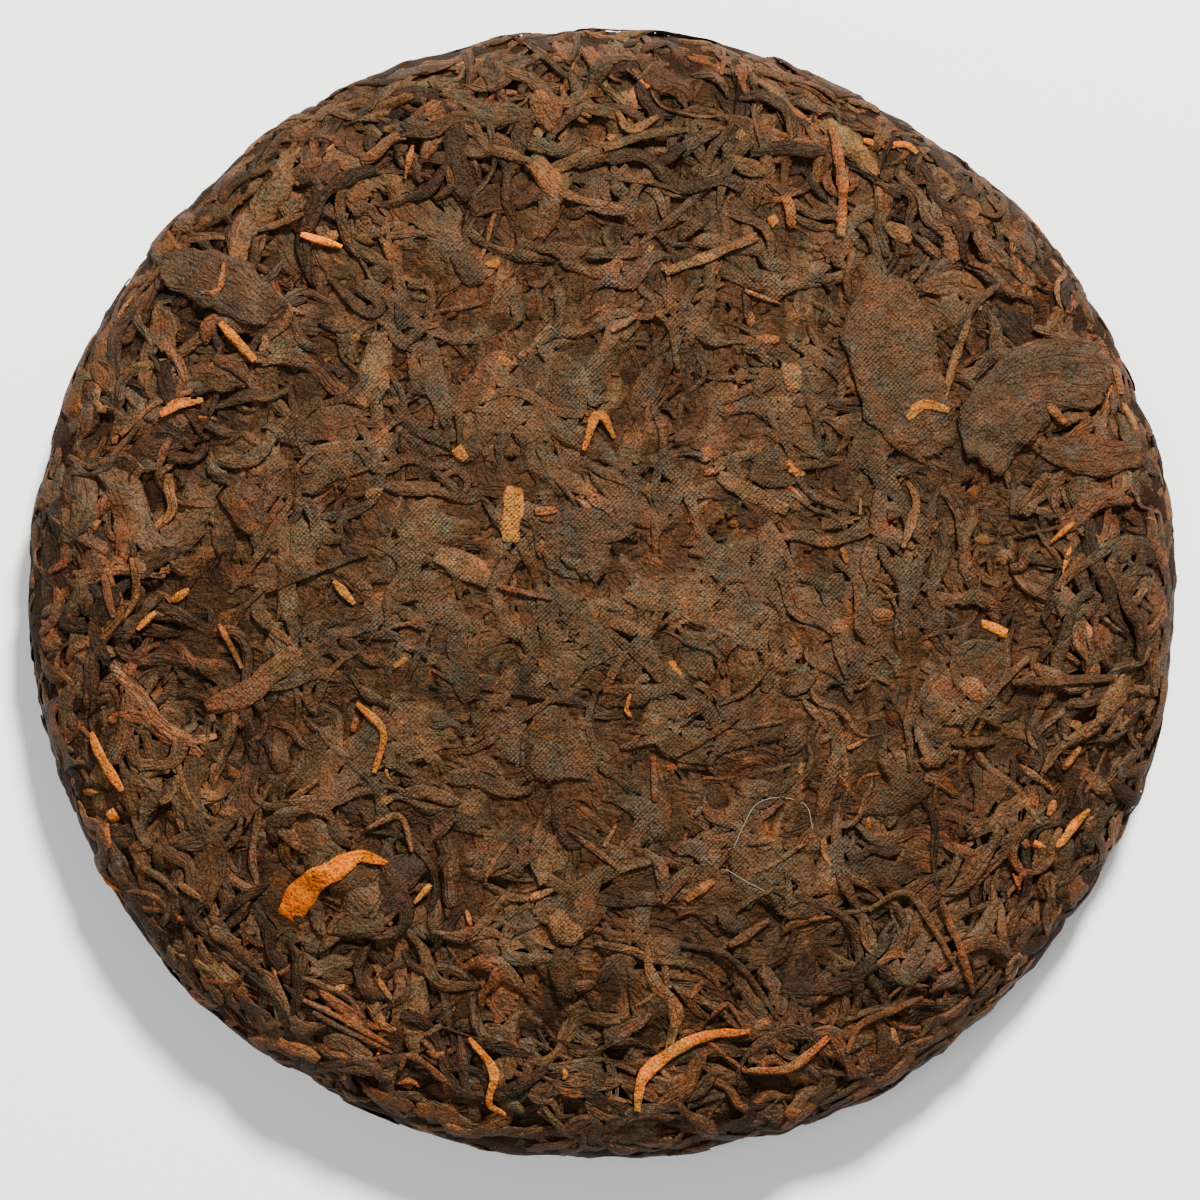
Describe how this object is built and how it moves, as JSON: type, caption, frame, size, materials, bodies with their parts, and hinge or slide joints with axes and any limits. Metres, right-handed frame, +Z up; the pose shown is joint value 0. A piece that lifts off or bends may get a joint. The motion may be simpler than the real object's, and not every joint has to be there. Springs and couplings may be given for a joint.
{
  "type": "pressed tea cake",
  "caption": "Round cake of pressed pu erh tea leaves, with a low domed face, a rounded rim and a dimple in the middle of its flat underside",
  "frame": {"origin": "middle of the flat underside, below the middle of the cake's outline", "axes": "+Z up through the middle of the domed face, +X towards the picture's right, +Y towards the picture's top"},
  "size_m": [0.2034, 0.198, 0.0258],
  "materials": {
    "tea_leaves": "matte"
  },
  "bodies": {
    "root": {"tea_cake": "tea_leaves"}
  },
  "joints": []
}
